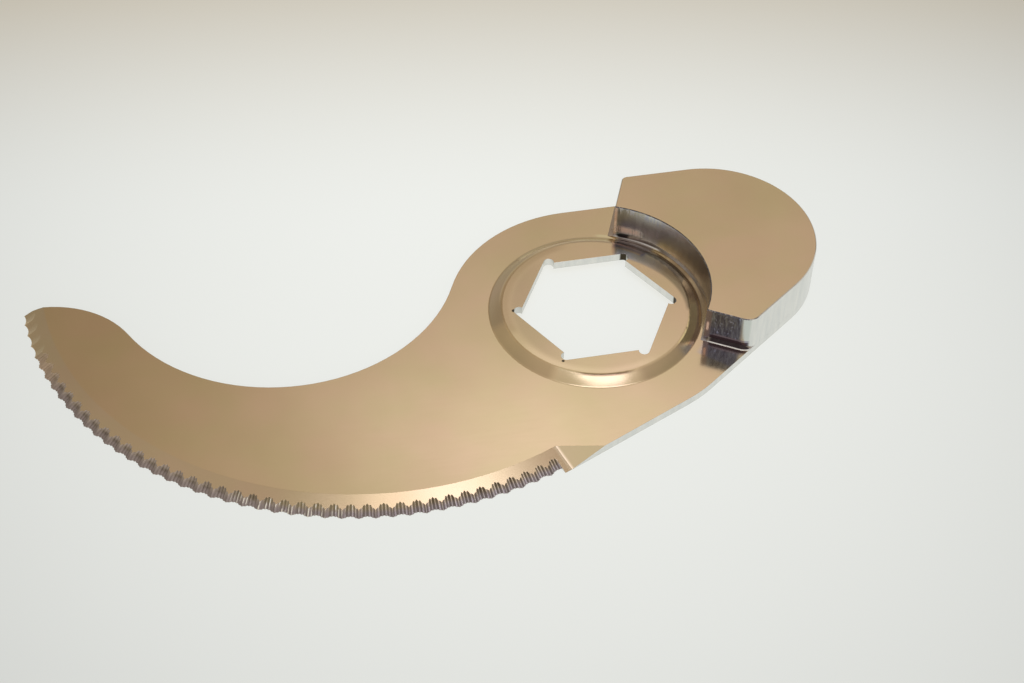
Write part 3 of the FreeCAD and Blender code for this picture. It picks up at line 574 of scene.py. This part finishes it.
FLOOR_HALF = 3.0
FLOOR_HEIGHT = -0.0002
FLOOR_CENTRE = (-0.041, 0.072)
FLOOR_SQUASH = 0.806
FLOOR_FALL = 1.5
FLOOR_LEAST = 0.72
FLOOR_PALE = srgb(246, 248, 243)
FLOOR_WARM = rgb(0.43, 0.31, 0.14)
WARM_SLANT = 0.158
WARM_DEPTHS = (0.076, 0.638)
WARM_MOST = 0.42
WARM_ENDS = (0.75, 1.9)
WARM_LEFT = 0.25
FLOOR_GLOW = 0.8

floor_mesh = bpy.data.meshes.new("floor")
floor_mesh.from_pydata([(-FLOOR_HALF, -FLOOR_HALF, 0.0), (FLOOR_HALF, -FLOOR_HALF, 0.0),
                        (FLOOR_HALF, FLOOR_HALF, 0.0), (-FLOOR_HALF, FLOOR_HALF, 0.0)], [], [(0, 1, 2, 3)])
floor = bpy.data.objects.new("floor", floor_mesh)
floor.location = (0.0, 0.0, FLOOR_HEIGHT)
bpy.context.scene.collection.objects.link(floor)
floor_material, nodes, surface = new_material("floor")
x, y = nodes.split(nodes.add("ShaderNodeTexCoord").outputs["Object"])[:2]
spread = nodes.distance(x, nodes.math("MULTIPLY", y, FLOOR_SQUASH), FLOOR_CENTRE)
fall = nodes.math("MULTIPLY", nodes.math("MULTIPLY", spread, spread), FLOOR_FALL)
painted_light_pool = nodes.math("MAXIMUM", nodes.math("SUBTRACT", 1.0, fall), FLOOR_LEAST)
depth = nodes.math("ADD", y, nodes.math("MULTIPLY", x, WARM_SLANT))
warm = nodes.both(nodes.math("MINIMUM", nodes.span(depth, *WARM_DEPTHS), WARM_MOST),
                  nodes.span(depth, *WARM_ENDS, 1.0, WARM_LEFT))
tone = nodes.mix(warm, nodes.times(FLOOR_PALE, painted_light_pool), FLOOR_WARM)
nodes.feed(tone, surface.inputs["Base Color"])
surface.inputs["Roughness"].default_value = 0.9
surface.inputs["Specular IOR Level"].default_value = 0.0
shine = nodes.add("ShaderNodeEmission")
nodes.feed(tone, shine.inputs["Color"])
rays = nodes.add("ShaderNodeLightPath").outputs
seen = nodes.either(rays["Is Camera Ray"], nodes.either(rays["Is Glossy Ray"], rays["Is Transmission Ray"]))
blend = nodes.add("ShaderNodeMixShader")
nodes.feed(nodes.math("MULTIPLY", seen, FLOOR_GLOW), blend.inputs[0])
nodes.feed(surface.outputs[0], blend.inputs[1])
nodes.feed(shine.outputs[0], blend.inputs[2])
nodes.show(blend.outputs[0])
floor_mesh.materials.append(floor_material)


# World: a soft studio. It is brightest behind the camera and low at the sides, brighter overhead than at middle
# height, and dim and plain low behind the blade, with one soft cool glow above that.

OVERHEAD_LEVELS = (0.33, 0.46)
RIGHT_LEVEL = 0.20
PLAIN_CAST = rgb(1.05, 1.0, 0.95)
WARM_CAST = rgb(0.95, 0.85, 0.71)
GLOW_COLOUR = rgb(0.84, 0.90, 1.09)
GLOW_PLACE = (0.171, 0.7533)
GLOW_SIZE = (0.075, 0.0185)
GLOW_SHARPNESS = 0.717
LOW_BEHIND = grey(0.40)
BRIGHT_SIDES = grey(1.1)

world = bpy.data.worlds.new("world")
bpy.context.scene.world = world
world.use_nodes = True
nodes = Nodes(world.node_tree)
background = world.node_tree.nodes["Background"]
x, y, z = nodes.split(nodes.add("ShaderNodeTexCoord").outputs["Generated"])
level = nodes.span(z, 0.6, 0.95, *OVERHEAD_LEVELS)
level = nodes.math("ADD", level, nodes.both(nodes.span(x, -0.15, 0.22, 0.0, RIGHT_LEVEL), nodes.span(y, 0.2, 0.6)))
to_left = nodes.both(nodes.span(x, 0.125, -0.02), nodes.span(y, 0.3, 0.6), nodes.span(x, -0.25, -0.12))
light = nodes.times(nodes.mix(to_left, PLAIN_CAST, WARM_CAST), level)
across = nodes.math("DIVIDE", nodes.math("SUBTRACT", x, GLOW_PLACE[0]), GLOW_SIZE[0])
upward = nodes.math("DIVIDE", nodes.math("SUBTRACT", z, GLOW_PLACE[1]), GLOW_SIZE[1])
away = nodes.math("ADD", nodes.math("MULTIPLY", across, across), nodes.math("MULTIPLY", upward, upward))
away = nodes.math("POWER", nodes.math("MULTIPLY", away, 0.5), GLOW_SHARPNESS)
glow = nodes.both(nodes.math("EXPONENT", nodes.math("MULTIPLY", away, -1.0)), nodes.span(y, 0.0, 0.2))
light = nodes.mix(glow, light, GLOW_COLOUR, blend="ADD")
light = nodes.mix(nodes.both(nodes.fade(z, 0.3, 0.52), nodes.span(y, 0.5, 0.7)), light, LOW_BEHIND)
sides = nodes.both(nodes.span(nodes.math("ABSOLUTE", x), 0.84, 0.94), nodes.fade(z, 0.35, 0.5))
light = nodes.mix(nodes.either(nodes.fade(y, -0.7, -0.5), sides), light, BRIGHT_SIDES)
nodes.feed(light, background.inputs["Color"])
background.inputs["Strength"].default_value = 1.0


# Lamp: one soft panel overhead, facing down

PANEL_WIDTH = 0.72
PANEL_DEPTH = 1.1
PANEL_BRIGHTNESS = 2.05
PANEL_PLACE = (0.155, -0.25, 2.0)
PANEL_COLOUR = (0.85, 0.88, 1.15)

panel_data = bpy.data.lights.new("overhead", "AREA")
panel_data.shape = "RECTANGLE"
panel_data.size = PANEL_WIDTH
panel_data.size_y = PANEL_DEPTH
panel_data.energy = PANEL_BRIGHTNESS * math.pi * PANEL_WIDTH * PANEL_DEPTH
panel_data.color = PANEL_COLOUR
panel = bpy.data.objects.new("overhead", panel_data)
panel.location = PANEL_PLACE
bpy.context.scene.collection.objects.link(panel)

bpy.context.scene.view_settings.view_transform = "Standard"
